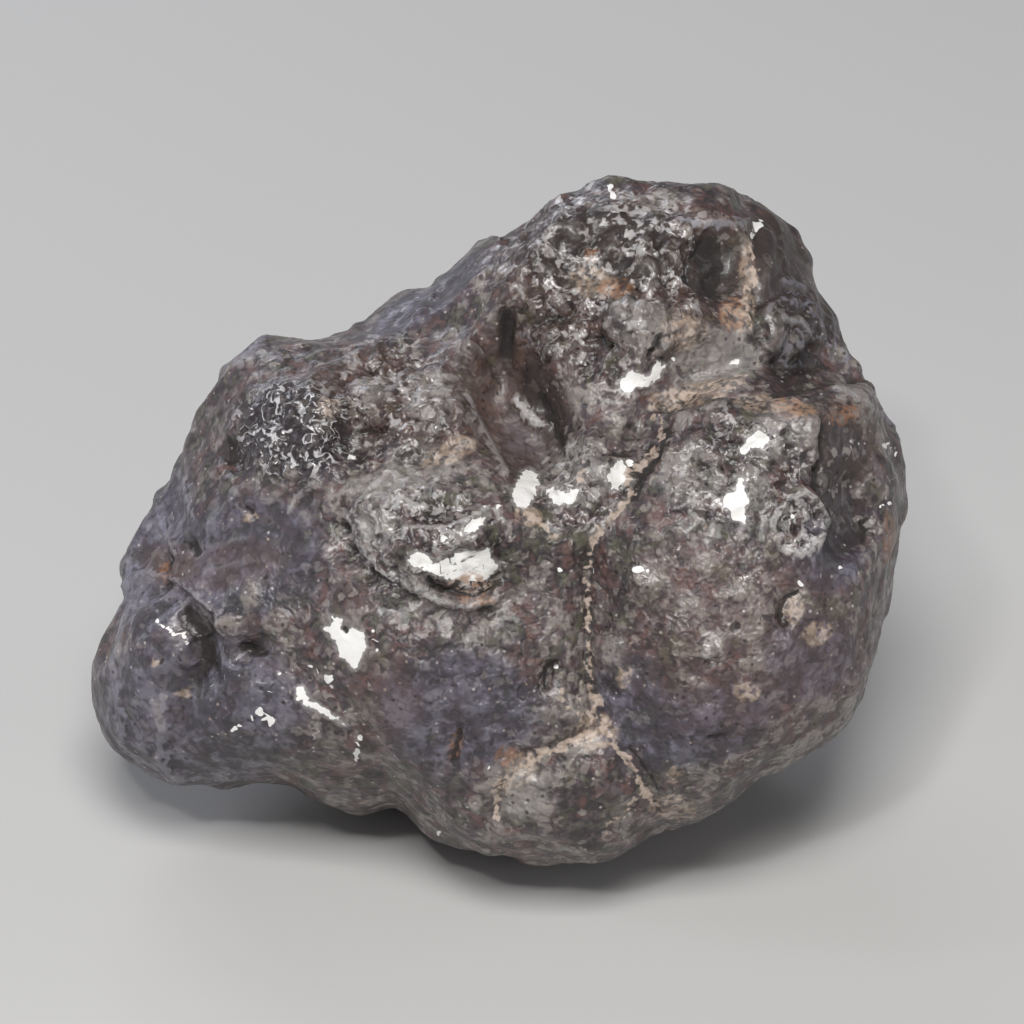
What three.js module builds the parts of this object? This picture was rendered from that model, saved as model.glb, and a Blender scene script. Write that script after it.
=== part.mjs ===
// A lunar meteorite: one dark, rounded stone of breccia, 90 mm across, standing on a small flat spot.
// Millimetres, +Z up. The origin is on the flat spot, straight under the stone's centre.
//
// The stone is described from its face, the side with the seams and hollows. In face coordinates x is to
// the right, y is up along the face, and w comes straight out of it. Lobes that melt into each other make
// the body, creases, hollows and lumps are let into its front and its back, and the rim is drawn to the
// outline that the face shows.
import * as THREE from "three";
import { mergeVertices } from "three/addons/utils/BufferGeometryUtils.js";

// Driving dimensions
const FACE_LEAN = 35; // degrees that the face looks up above the horizon
const FOOT_DROP = 32.3; // from the centre down to the flat spot
const CENTRE = [0, -2, -3]; // where the rays that find the surface start
const VIEW_DISTANCE = 640; // where the outline is seen from, in front of the face
const MELT = 8; // how far two lobes blend where they meet

// Facets
const FACET_STEPS = 21; // each edge of the icosahedron is cut at this many places
const SPREAD = new THREE.Vector3(45, 38, 30); // the stone's rough half sizes, which even out its facets
const EVENING_ROUNDS = 3; // how often the corners are moved to even out the facets
const SAME_CORNER = 1e-4;

// The search for the surface along a ray
const REACH = 60; // longer than any radius of the stone
const LEAST_STEP = 0.5;
const STEP_SHARE = 0.6; // of the distance that the field gives
const HALVINGS = 9;

// The fit to the outline, by angle about the centre. Its broad shape reaches further in from the rim than
// its small bumps do.
const ANGLES = 720;
const BROAD_ANGLES = 24; // to each side, over which the outline's broad shape is averaged
const BROAD_FROM = 0.45; // share of the radius at the rim
const BUMPS_FROM = 0.86;
const RIM_LIFTS = [-24, -20, -16, -12, -8, -4, 0, 4, 8, 12, 16, 20, 24]; // degrees out of the rim's plane
const OUTLINE_STEPS = 4000;

// How squarely a place looks out of the front or the back where its relief starts, and where it is full
const FRONT_FADE = [0.02, 0.3];
const BACK_FADE = [0.05, 0.35];

// Each lobe is a blunt ellipsoid: its middle, its half sizes, its turn about w in degrees and its
// bluntness, where 2 is a true ellipsoid and more is squarer.
const LOBES = [
  { name: "core", at: [-1, -4, -6], half: [37, 29, 22], turn: 10, blunt: 2.2 },
  { name: "right boulder", at: [24.5, -10, 3], half: [19.5, 25, 21], turn: 6, blunt: 2.4 },
  { name: "crown", at: [14, 19, -5], half: [18, 17.5, 18.5], turn: -10, blunt: 2.5 },
  { name: "crown corner", at: [25.5, 24, -9], half: [9, 11, 14], turn: 20, blunt: 2.4 },
  { name: "middle mass", at: [-7, -9, 3], half: [20, 20, 20.5], turn: -20, blunt: 2.2 },
  { name: "left shoulder", at: [-22, 5, -3], half: [14, 14, 17], turn: 15, blunt: 2.3 },
  { name: "upper slope", at: [-6, 17, -10], half: [20, 12, 15], turn: 28, blunt: 2.4 },
  { name: "left lobe", at: [-37, -18, -5], half: [9.5, 12, 12], turn: 5, blunt: 2.3 },
  { name: "lower left", at: [-24, -16, 0], half: [17, 14, 16.5], turn: -8, blunt: 2.3 },
  { name: "bottom lump", at: [3, -24, 1], half: [16, 15, 17], turn: 0, blunt: 2.3 },
  { name: "heel", at: [4, -17, -18], half: [24, 17, 13], turn: 0, blunt: 2.5 },
  { name: "back hump", at: [8, 4, -20], half: [24, 18, 12], turn: 20, blunt: 2.3 },
  { name: "back left", at: [-24, -5, -14], half: [16, 15, 13], turn: -10, blunt: 2.3 },
];

// Creases run where lobes meet. Each has its path on the face, its half width and its depth.
const CREASES = [
  { name: "main seam", half: 1.5, deep: 1.8, path: [[16, 9.5], [14, 5], [12.5, 1.5], [9.5, -3], [8.3, -8],
    [8.4, -14], [8.9, -20], [10, -24]] },
  { name: "right fork", half: 1.4, deep: 1.1, path: [[10, -24], [12.5, -27], [14.5, -31], [16.5, -35]] },
  { name: "left fork", half: 1.4, deep: 0.9, path: [[10, -24], [5, -26.5], [1, -29.5], [-1, -33]] },
  { name: "over the brow", half: 2, deep: 2.6, path: [[14.5, 8], [17, 12.5], [21, 15.5], [27, 17], [33, 17],
    [39, 16]] },
  { name: "under the crown step", half: 1.5, deep: 1.5, path: [[-1, 20.5], [5, 21.5], [12, 23.5], [17, 24]] },
  { name: "crown corner seam", half: 1.3, deep: 1.6, path: [[26.5, 32], [26.3, 27], [25.5, 22], [27, 18.5]] },
  { name: "corner ledge", half: 1.3, deep: 1.8, path: [[27.5, 24], [31, 24.3], [34.5, 23]] },
  { name: "left lobe groove", half: 1.7, deep: 2.6, path: [[-39, -8.5], [-35, -11], [-33.3, -14], [-34, -18],
    [-37, -20.5]] },
  { name: "under the plate", half: 1.3, deep: 1.7, path: [[-19, -0.5], [-17.5, -5], [-13, -9], [-8, -11.3],
    [-3, -11.5], [0, -9]] },
  { name: "lower left seam", half: 1.6, deep: 0.9, path: [[-14.5, -33], [-15, -27], [-19, -21], [-25, -18]] },
];

// Hollows and lumps on the face: middle, half sizes, turn, and depth or height.
const HOLLOWS = [
  { name: "scoop", at: [0.5, 11], half: [5.2, 9], turn: 22, deep: 4.6 },
  { name: "scoop head", at: [-1, 19.5], half: [2, 3.4], turn: 5, deep: 2.6 },
  { name: "crown hollow", at: [23.3, 28], half: [3.4, 4.6], turn: 0, deep: 3.2 },
  { name: "crown dip", at: [9, 27.5], half: [5, 3.6], turn: 0, deep: 1.4 },
  { name: "plate cavity", at: [-5, -6.5], half: [4.5, 2.6], turn: 8, deep: 1.6 },
  { name: "boulder hollow", at: [37.5, 0], half: [2.8, 4.8], turn: 10, deep: 2.4 },
  { name: "boulder notch", at: [31, -10.5], half: [1.8, 3], turn: 20, deep: 1.3 },
  { name: "shoulder pit", at: [-31, 7], half: [1.8, 2.4], turn: 0, deep: 1.5 },
  { name: "upper pit", at: [-17.5, 8.5], half: [2.2, 3], turn: 0, deep: 1.6 },
  { name: "lower pit", at: [-28.7, -15], half: [2, 1.6], turn: 0, deep: 1.2 },
  { name: "bottom dent", at: [-6.5, -26], half: [1.8, 3.2], turn: 0, deep: 0.9 },
];
const LUMPS = [
  { name: "brow", at: [27, 10.5], half: [11, 3.4], turn: 5, high: 1.6 },
  { name: "bubbly dome", at: [-24.5, 8.5], half: [6.5, 6], turn: 0, high: 1.5 },
  { name: "plate", at: [-9, -1.5], half: [9.5, 5.5], turn: -14, high: 2 },
  { name: "crown knob", at: [13.5, 20], half: [4.5, 3.2], turn: 0, high: 1.7 },
  { name: "corner lumps", at: [31, 19.5], half: [3.6, 3.4], turn: 0, high: 1.6 },
  { name: "left knob", at: [-40.5, -15.5], half: [4.5, 6], turn: 0, high: 1.2 },
  { name: "saddle lump", at: [8, 6], half: [3.4, 3.8], turn: 0, high: 1.1 },
];
const RIDGES = [
  { name: "scoop edge", half: 0.9, high: 1.6, path: [[-4.5, 20], [-6.2, 13], [-4.8, 9], [-2, 4.5]] },
  { name: "crown edge", half: 1.2, high: 1.6, path: [[7, 34], [2.5, 30.5], [0, 26], [-2.5, 22], [-4.5, 19]] },
];

// The back has shapes of its own, given as they are seen through the stone from the face.
const BACK_HOLLOWS = [
  { name: "back scoop", at: [-8, 12], half: [7, 5], turn: 30, deep: 3 },
  { name: "thumbprint one", at: [18, 6], half: [6, 5], turn: 0, deep: 2.4 },
  { name: "thumbprint two", at: [25, -8], half: [5, 6], turn: 20, deep: 2 },
  { name: "thumbprint three", at: [-28, -8], half: [5, 4], turn: 0, deep: 1.8 },
  { name: "back pit", at: [4, 20], half: [2.6, 2.2], turn: 0, deep: 1.8 },
];
const BACK_CREASES = [
  { name: "back seam", half: 1.7, deep: 1.6, path: [[-16, 22], [-12, 10], [-14, 0], [-10, -9], [-13, -20]] },
  { name: "back fork", half: 1.5, deep: 1.3, path: [[-14, 0], [-24, 3], [-36, 1]] },
  { name: "back right seam", half: 1.5, deep: 1.5, path: [[6, 30], [10, 20], [20, 15], [34, 12]] },
];

// Unevenness all over: the size of its bumps, and how far they stand out on the face and away from it.
const BUMPS = [
  { size: 11, face: 0.9, away: 1.5 },
  { size: 5.3, face: 0.55, away: 0.8 },
  { size: 2.9, face: 0.3, away: 0.4 },
];

// The outline of the face, clockwise from the tip of the left lobe.
const OUTLINE = [
  [-46.5, -18], [-44.5, -13], [-42.8, -9], [-43.2, -6], [-41.5, -3.2], [-39, 2], [-36.7, 5.5],
  [-34.5, 11], [-31, 17], [-26.3, 19.3], [-22.5, 19], [-18, 20], [-14.5, 23], [-12, 24.7], [-9, 25],
  [-3.5, 30], [-1, 30.2], [5, 35], [8, 35.4], [10.5, 37.1], [13, 37], [17, 36], [23, 36.3], [26, 34.4],
  [29, 33.6], [33, 28], [33.3, 25.5], [35.5, 22.3], [36.2, 19], [39.2, 15.3], [40.3, 12.3], [43.8, 5.5],
  [43.5, 0], [41.5, -11], [38.3, -21.3], [35.5, -25], [28, -29.3], [24, -32.4], [18.5, -35], [16, -35],
  [12.5, -37.6], [8, -39], [-1, -38.2], [-7.5, -36.5], [-13.5, -32.2], [-16, -33.4], [-24, -30.5],
  [-28, -30], [-33.5, -30.4], [-39.5, -29], [-43.5, -26.5], [-45.8, -23],
];

const radians = THREE.MathUtils.degToRad;
const smoothstep = THREE.MathUtils.smoothstep;
const lerp = THREE.MathUtils.lerp;

// Where two distances meet, the joint surface is rounded over the blend length.
function melt(a, b) {
  const near = Math.max(MELT - Math.abs(a - b), 0) / MELT;
  return Math.min(a, b) - (near * near * MELT) / 4;
}

function turned(x, y, degrees) {
  const c = Math.cos(radians(degrees));
  const s = Math.sin(radians(degrees));
  return [x * c + y * s, y * c - x * s];
}

// Roughly the distance from a point to a blunt ellipsoid, less than zero inside.
function lobeDistance({ at, half, turn, blunt }, x, y, w) {
  const [u, v] = turned(x - at[0], y - at[1], turn);
  const lift = w - at[2];
  const shares = [u / half[0], v / half[1], lift / half[2]];
  const size = shares.reduce((sum, share) => sum + Math.abs(share) ** blunt, 0) ** (1 / blunt);
  const atTheMiddle = size === 0;
  return atTheMiddle ? -Math.min(...half) : Math.hypot(u, v, lift) * (1 - 1 / size);
}

// Smooth noise between -1 and 1, the same on every run: a value at each corner of a lattice of unit cubes.
function cornerValue(i, j, k) {
  const n = Math.sin(i * 127.1 + j * 311.7 + k * 74.7) * 43758.5453;
  return 2 * (n - Math.floor(n)) - 1;
}
function noise(x, y, w) {
  const [i, j, k] = [x, y, w].map(Math.floor);
  const [a, b, c] = [x - i, y - j, w - k].map((t) => t * t * (3 - 2 * t));
  const edge = (dj, dk) => lerp(cornerValue(i, j + dj, k + dk), cornerValue(i + 1, j + dj, k + dk), a);
  return lerp(lerp(edge(0, 0), edge(1, 0), b), lerp(edge(0, 1), edge(1, 1), b), c);
}

// How close a place is to a path or to the middle of a patch: 1 on it, falling to 0 past its half size.
function nearPath({ path, half }, x, y) {
  let least = Infinity;
  for (let i = 1; i < path.length; i++) {
    const [[ax, ay], [bx, by]] = [path[i - 1], path[i]];
    const [dx, dy] = [bx - ax, by - ay];
    const t = THREE.MathUtils.clamp(((x - ax) * dx + (y - ay) * dy) / (dx * dx + dy * dy), 0, 1);
    least = Math.min(least, Math.hypot(x - ax - t * dx, y - ay - t * dy));
  }
  return Math.exp(-((least / half) ** 2));
}
function nearPatch({ at, half, turn }, x, y) {
  const [u, v] = turned(x - at[0], y - at[1], turn);
  const far = (u / half[0]) ** 2 + (v / half[1]) ** 2;
  return Math.exp(-far * far);
}

// How far the surface stands proud of the lobes, or lies below them where it is negative. Where creases
// meet, the deepest one counts.
function deepestCrease(creases, x, y) {
  return Math.max(...creases.map((crease) => crease.deep * nearPath(crease, x, y)));
}
function faceRelief(x, y) {
  let high = -deepestCrease(CREASES, x, y);
  for (const ridge of RIDGES) high += ridge.high * nearPath(ridge, x, y);
  for (const hollow of HOLLOWS) high -= hollow.deep * nearPatch(hollow, x, y);
  for (const lump of LUMPS) high += lump.high * nearPatch(lump, x, y);
  return high;
}
function backRelief(x, y) {
  let high = -deepestCrease(BACK_CREASES, x, y);
  for (const hollow of BACK_HOLLOWS) high -= hollow.deep * nearPatch(hollow, x, y);
  return high;
}
function unevenness(x, y, w, front) {
  let high = 0;
  for (const { size, face, away } of BUMPS) {
    high += lerp(away, face, front) * noise(x / size + size, y / size, w / size);
  }
  return high;
}

// Things further out of the face look larger from in front of it.
const seenSize = (w) => VIEW_DISTANCE / (VIEW_DISTANCE - w);

// The stone's field at a point: less than zero inside.
function field(x, y, w) {
  const body = LOBES.map((lobe) => lobeDistance(lobe, x, y, w)).reduce(melt);
  const outward = (w - CENTRE[2]) / Math.hypot(x - CENTRE[0], y - CENTRE[1], w - CENTRE[2]);
  const front = smoothstep(outward, ...FRONT_FADE);
  const back = smoothstep(-outward, ...BACK_FADE);
  let high = unevenness(x, y, w, front);
  if (front > 0) high += front * faceRelief(x * seenSize(w), y * seenSize(w));
  if (back > 0) high += back * backRelief(x, y);
  return body - high;
}

// The furthest point of the stone along a ray from its centre, found by stepping in and then halving.
function radiusAlong({ x, y, z }) {
  const fieldAt = (r) => field(CENTRE[0] + x * r, CENTRE[1] + y * r, CENTRE[2] + z * r);
  let outside = REACH;
  let inside = REACH;
  for (let d = fieldAt(inside); d > 0; d = fieldAt(inside)) {
    outside = inside;
    inside -= Math.max(LEAST_STEP, STEP_SHARE * d);
  }
  for (let i = 0; i < HALVINGS; i++) {
    const middle = (inside + outside) / 2;
    if (fieldAt(middle) > 0) outside = middle;
    else inside = middle;
  }
  return (inside + outside) / 2;
}
const onSurface = (ray) => ray.clone().multiplyScalar(radiusAlong(ray));

// The largest radius about the centre at each angle, of points that go all the way round.
function radiiByAngle(points) {
  const radii = new Array(ANGLES).fill(0);
  for (const p of points) {
    const slot = Math.floor(turnOf(p.x, p.y) * ANGLES) % ANGLES;
    radii[slot] = Math.max(radii[slot], Math.hypot(p.x, p.y));
  }
  return radii.map((radius, i) => radius || radii[(i + ANGLES - 1) % ANGLES]);
}
function turnOf(x, y) {
  return (Math.atan2(y, x) / (2 * Math.PI) + 1) % 1;
}
function outlineRadii() {
  const points = OUTLINE.map(([x, y]) => new THREE.Vector3(x - CENTRE[0], y - CENTRE[1], 0));
  return radiiByAngle(new THREE.CatmullRomCurve3(points, true, "centripetal").getPoints(OUTLINE_STEPS));
}

// The lobes' own outline: at each angle, the furthest point near the rim as it is seen from the face.
function bodyRadii() {
  const points = [];
  for (let i = 0; i < ANGLES; i++) {
    const turn = (2 * Math.PI * (i + 0.5)) / ANGLES;
    const seen = RIM_LIFTS.map((degrees) => {
      const lift = radians(degrees);
      const flat = Math.cos(lift);
      const p = onSurface(new THREE.Vector3(flat * Math.cos(turn), flat * Math.sin(turn), Math.sin(lift)));
      const grow = seenSize(CENTRE[2] + p.z);
      return new THREE.Vector2((CENTRE[0] + p.x) * grow - CENTRE[0], (CENTRE[1] + p.y) * grow - CENTRE[1]);
    });
    points.push(seen.reduce((a, b) => (b.length() > a.length() ? b : a)));
  }
  return radiiByAngle(points);
}

// Draws the rim to the outline: x and y grow by the ratio of the two outlines, fully at the rim and less
// and less towards the middle of the face and of the back.
function rimFit() {
  const own = bodyRadii();
  const ratio = outlineRadii().map((wanted, i) => wanted / own[i]);
  const broad = ratio.map((_, i) => {
    let sum = 0;
    for (let k = -BROAD_ANGLES; k <= BROAD_ANGLES; k++) sum += ratio[(i + k + ANGLES) % ANGLES];
    return sum / (2 * BROAD_ANGLES + 1);
  });
  return (x, y) => {
    const place = turnOf(x, y) * ANGLES - 0.5 + ANGLES;
    const i = Math.floor(place) % ANGLES;
    const read = (list) => lerp(list[i], list[(i + 1) % ANGLES], place % 1);
    const out = Math.hypot(x, y) / read(own);
    const broadGrow = (read(broad) - 1) * smoothstep(out, BROAD_FROM, 1);
    const bumpGrow = (read(ratio) - read(broad)) * smoothstep(out, BUMPS_FROM, 1);
    return 1 + broadGrow + bumpGrow;
  };
}

// The middle of each corner's neighbours. Corners moved towards it stand more evenly on steep walls.
function middlesOfNeighbours(points, index) {
  const sums = points.map(() => new THREE.Vector3());
  const counts = points.map(() => 0);
  for (let i = 0; i < index.count; i++) {
    const next = i % 3 === 2 ? i - 2 : i + 1;
    sums[index.getX(i)].add(points[index.getX(next)]);
    counts[index.getX(i)] += 1;
  }
  return sums.map((sum, i) => sum.divideScalar(counts[i]));
}

// Facets start as an icosahedron's, even over the stone's rough shape, and each corner goes out along its
// ray to the surface. Corners below the flat spot stop at its plane.
function stoneGeometry() {
  const ball = new THREE.IcosahedronGeometry(1, FACET_STEPS);
  ball.deleteAttribute("normal");
  ball.deleteAttribute("uv");
  const geometry = mergeVertices(ball, SAME_CORNER);
  const place = geometry.getAttribute("position");
  let points = [];
  for (let i = 0; i < place.count; i++) {
    points.push(onSurface(new THREE.Vector3().fromBufferAttribute(place, i).multiply(SPREAD).normalize()));
  }
  for (let round = 0; round < EVENING_ROUNDS; round++) {
    points = middlesOfNeighbours(points, geometry.index).map((middle) => onSurface(middle.normalize()));
  }
  const rimGrow = rimFit();
  const down = new THREE.Vector3(0, -Math.cos(radians(FACE_LEAN)), -Math.sin(radians(FACE_LEAN)));
  points.forEach((point, i) => {
    const grow = rimGrow(point.x, point.y);
    point.set(point.x * grow, point.y * grow, point.z);
    const drop = point.dot(down);
    if (drop > FOOT_DROP) point.multiplyScalar(FOOT_DROP / drop);
    place.setXYZ(i, ...point);
  });
  geometry.computeVertexNormals();
  return geometry;
}

// Dark grey-brown breccia with a mauve cast and a dull desert polish.
const breccia = new THREE.MeshStandardMaterial({ color: 0x5e5657, roughness: 0.42, metalness: 0 });

// The face leans back, and the flat spot comes to z = 0 under the centre.
function meteorite() {
  const geometry = stoneGeometry();
  geometry.rotateX(radians(90 - FACE_LEAN));
  const stone = new THREE.Mesh(geometry, breccia);
  stone.name = "stone";
  stone.position.set(0, 0, FOOT_DROP);
  const group = new THREE.Group();
  group.add(stone);
  return group;
}

export default meteorite();
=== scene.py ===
import math

import bpy
import numpy as np
from mathutils import Matrix, Vector, noise


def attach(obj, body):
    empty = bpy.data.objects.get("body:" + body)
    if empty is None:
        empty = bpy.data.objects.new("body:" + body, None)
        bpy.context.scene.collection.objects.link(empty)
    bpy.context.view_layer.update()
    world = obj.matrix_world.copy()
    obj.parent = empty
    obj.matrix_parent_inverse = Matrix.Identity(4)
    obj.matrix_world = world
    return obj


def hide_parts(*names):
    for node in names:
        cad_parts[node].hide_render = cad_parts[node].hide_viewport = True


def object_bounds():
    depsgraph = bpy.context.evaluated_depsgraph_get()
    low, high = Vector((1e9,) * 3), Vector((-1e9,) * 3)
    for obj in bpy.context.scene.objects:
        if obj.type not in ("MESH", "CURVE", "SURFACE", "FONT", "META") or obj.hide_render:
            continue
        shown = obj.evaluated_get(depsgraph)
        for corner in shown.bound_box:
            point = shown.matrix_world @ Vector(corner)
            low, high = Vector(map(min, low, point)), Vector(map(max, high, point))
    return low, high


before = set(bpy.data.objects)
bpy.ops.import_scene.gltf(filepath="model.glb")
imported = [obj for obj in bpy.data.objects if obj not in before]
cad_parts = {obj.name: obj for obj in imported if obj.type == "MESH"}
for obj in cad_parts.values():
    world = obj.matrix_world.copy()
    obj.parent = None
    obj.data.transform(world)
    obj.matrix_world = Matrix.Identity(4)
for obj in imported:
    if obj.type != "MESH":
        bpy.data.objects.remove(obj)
cad_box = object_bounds()

# The stone is described from its face, the side with the seams and hollows, in millimetres: x to the right,
# y up along the face, and w straight out of it.
MM = 0.001
# The face looks this far up from level
FACE_LEAN = math.radians(35)
FACE_TURN = Matrix.Rotation(math.pi / 2 - FACE_LEAN, 3, "X")
# The stone's middle on the face, and its height over the flat spot
CENTRE = np.array([0.0, -2.0, -3.0])
FOOT_DROP = 32.3
# The camera stands straight out from the face and sees this much of it across
VIEW_DISTANCE = 640.0
FRAME_WIDTH = 113.8
SENSOR_WIDTH = 36.0

# The studio, in metres
FLOOR_HALF = 4.0
LIT_POINT = Vector((0, 0, 0.03))


def world_point(x, y, w):
    """A place given in face millimetres, in the world's metres."""
    return (FACE_TURN @ (Vector((x, y, w)) - Vector(CENTRE)) + Vector((0, 0, FOOT_DROP))) * MM


def face_points(world):
    """World points in metres, as face millimetres."""
    turn = np.array(FACE_TURN)
    return (world / MM - np.array([0, 0, FOOT_DROP])) @ turn + CENTRE


# Square millimetres, so that a chain may have two equal points
TINY = 1e-9
# Millimetres, more than any line or white patch is wide
FAR_AWAY = 9.0
# The relief starts this far above the flat spot and is whole from the second height up, in millimetres
FOOT_EDGE = (0.2, 3.0)

# Soft places on the face: middle, half sizes and turn in degrees
SATIN = [
    ((-29, -3), (8, 5.5), 0), ((-37.5, -16), (3.6, 3.4), 0), ((-38, -25), (6, 6), 0),
    ((-27, -28), (9, 3.5), 0), ((-0.4, 11.6), (5.4, 8), 18), ((31.5, 28), (4.5, 6.5), 0),
    ((33.5, -6.5), (3, 2.5), 0), ((24, 17.6), (2.6, 2), 0),
]
CRYSTALLINE = [
    ((11, 28), (13, 8.5), 0), ((10, 19), (8, 4.5), 0), ((25, 5), (10, 5.5), 0), ((-13, 11), (7.5, 7), 0),
    ((1.9, 11), (0.9, 2.2), 40), ((-9, -3), (9.5, 6.5), -14), ((7, 3), (5, 5), 0), ((32, -1), (3, 4.2), 0),
    ((13.9, -7.4), (1.4, 1.5), 0), ((18.9, -10.8), (1.3, 1.1), 0), ((22.3, -15.4), (1.2, 1.6), 0),
    ((26, -7.6), (1.2, 0.6), 0), ((10.8, -13.6), (1, 0.7), 0),
]
BUBBLY = [((-24.3, 9), (6.4, 5.6), 0)]
GLOSSY_LUMPS = [((32, 19.5), (4.2, 5), 0)]
PLATE = [((-9.2, -3.2), (9.6, 6.6), -14)]
PALE_PLACES = [
    ((-15.2, -1.8), (2.2, 2.6), -20), ((-16.6, 3.2), (2, 1.1), 20), ((-6.6, -2.8), (1.6, 0.9), 0),
    ((-10, -8), (4, 0.9), -28), ((20, 4), (4, 3.4), 0), ((29, 8.6), (3.4, 2.4), 0), ((27, 2.6), (2, 3), 0),
    ((23, 17), (5, 3.6), 10), ((-15.7, 13.3), (2.2, 1.6), 0), ((-9.2, 12), (2.4, 3.4), 0),
    ((-12, 2.6), (4, 2), 0), ((7, 4), (4, 4), 0), ((14.5, 20.5), (3.6, 3), 0), ((1, -31), (3, 3), 15),
    ((-10, 5), (4, 3), 0),
]
# Dark places: partly darker rock, partly painted shade in hollows and on walls turned from the light
DARK_AND_SHADED_PLACES = [
    ((22.5, 27.3), (2.8, 4), 0), ((37.2, -1), (2.4, 3.4), 0), ((37, 6), (2.8, 4), 0),
    ((-31.4, 7), (1.2, 1.6), 0), ((-17.3, 7.4), (1.5, 1.8), 0), ((-11.8, 6.4), (1.6, 0.8), 0),
    ((-18.6, 10.6), (0.7, 2.2), 0), ((-24.3, 9), (6, 5.2), 0), ((30.3, -0.8), (0.9, 1.6), 0),
    ((4.8, 11), (1.4, 5), 16), ((2.8, 14.6), (2, 2.6), 20), ((31, 17), (3, 3.4), 0),
    ((11, 22.5), (1.6, 3), 30), ((-0.7, 20), (1.2, 3), 0), ((32.5, 27), (6, 9), 0), ((10, 29), (9, 5), 0),
    ((36.5, 6), (2.4, 5.5), 0),
]
TAN_PLACES = [
    ((34, -13.5), (1.5, 1.1), 0), ((26, -20), (1.4, 1.1), 0), ((18.1, -29.2), (1, 0.8), 0),
    ((12.6, -18.6), (0.7, 1.4), 0), ((9.2, -24.4), (2.6, 1.8), 20), ((0.5, -29), (2.6, 1.2), 40),
    ((19, 20), (2.6, 1.8), 0), ((27.5, 12.4), (3.6, 1.2), 0), ((26.3, 25), (0.9, 4.5), 0),
    ((2, -0.6), (1.6, 1), -30), ((-4.2, -8.2), (2.8, 0.9), 0), ((17.9, -32.8), (2.4, 1.3), -10),
    ((-20.3, 11.6), (1, 1.2), 0), ((-7, 6.6), (3, 1.2), 20), ((31.3, -10.8), (1.2, 1.2), 0),
    ((21, 13.4), (3, 0.9), 12), ((-29.1, -0.5), (0.9, 0.5), 0), ((-39.8, -16.8), (0.5, 0.7), 0),
    ((-36.3, -20), (0.7, 0.5), 0), ((9, 25.4), (2.6, 1.6), -20), ((25, 21.6), (1.6, 1.6), 0),
    ((30.5, 11.6), (3, 1), -8), ((16.8, 12.4), (2, 1), 40),
]
RUSTY_PLACES = [
    ((24.6, 23.1), (0.9, 0.9), 0), ((9, 28.7), (0.7, 0.8), 0), ((11.6, 24.8), (2, 1), 0),
    ((-0.6, -27.1), (1.3, 1.2), 0), ((-4.2, -7.5), (1.2, 0.8), 0), ((-4.4, -9.7), (2.2, 0.4), 0),
    ((-38.4, -6.4), (1, 1.1), 0), ((31.6, 11.6), (2, 0.8), -15), ((41.8, -3), (0.6, 3), 0),
    ((37, 10.8), (1.6, 1), 0), ((-6.3, -26), (0.6, 1.6), -14), ((24.4, 21.6), (1.2, 1.6), 0),
]
BROWN_PLACES = [
    ((0, 12), (6, 8.4), 18), ((22, 28.5), (6, 5), 0), ((-16, 13), (7, 5), 0), ((37, 8), (4, 5), 0),
    ((10, 26), (11, 8), 0), ((20, 20), (4, 3), 0), ((31, 28), (5, 7), 0), ((-8, 8), (4, 3), 0),
    ((-38, -6), (3, 2.5), 0),
]
MAUVE_PLACES = [
    ((-30, -5), (9, 7), 0), ((-35, -22), (12, 9), 0), ((-6, -22), (9, 7), 0), ((13, -21), (4, 6), 0),
    ((21, -24), (9, 4), 20), ((33, -16), (5, 5), 0), ((35, -5), (4, 4), 0), ((-40, -3), (5, 12), 0),
    ((-24.3, 9), (6.4, 5.6), 0), ((-9, 24), (8, 2), 35), ((2, 8), (3, 4), 0),
]
REDDISH_PLACES = [
    ((20, -6), (6, 3.4), 0), ((27, -15), (13, 10), 0), ((-32, -6), (7, 2.6), 10), ((-14, -21), (4, 5), 0),
    ((-18, -10), (3, 2), 0),
]

# Broad lumps and hollows: middle, half sizes, turn and height
RISES = [
    ((14.4, 20.8), (3.2, 2.6), 20, 1.0), ((22, 10.8), (2.6, 1.8), 0, 0.6), ((-33, -10.4), (3, 2), -20, 0.5),
    ((25, 16.2), (4.5, 2), 5, 0.5), ((32, -1.4), (3, 3.6), 0, 0.5), ((33.3, 8.8), (2, 2.6), 0, 0.5),
    ((-13, 12), (5, 3), 10, 0.6), ((-26, -12.8), (2, 2.4), 0, 0.4), ((-37.4, -14.2), (3.2, 3), 0, -0.8),
    ((22.3, 27.4), (2.8, 4), 0, -1.2), ((-6.6, 13), (0.8, 5), 8, 0.5), ((10.4, 18.6), (1.8, 2.6), 20, -1.0),
    ((16.6, 27.4), (1, 3.4), 5, -0.9), ((12, 27.8), (1.2, 1.2), 0, -0.8), ((-31.4, 7), (1.3, 1.8), 0, -0.7),
    ((37, 6), (2.4, 4.5), 0, -0.7), ((37.2, -1.4), (2.2, 3), 0, -0.7),
    ((-28.8, -15.3), (1.6, 0.8), -10, -0.5), ((-38.4, -5.6), (1.2, 1.6), 0, -0.8),
    ((-34.6, -14), (1.2, 3.4), 20, -1.0), ((-17.5, 8), (2.4, 2.6), 0, -0.9),
    ((-22, 17), (3.5, 1.4), 15, -0.7), ((30.6, -10.8), (1.2, 2), 0, -0.5), ((4.2, -18), (1, 1.6), 0, -0.6),
    ((0, -27), (1.6, 1.4), 0, -0.6), ((19.6, 17.4), (3, 1.2), 20, -0.5), ((30, 15.6), (4, 1.2), 5, -0.6),
]

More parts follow.
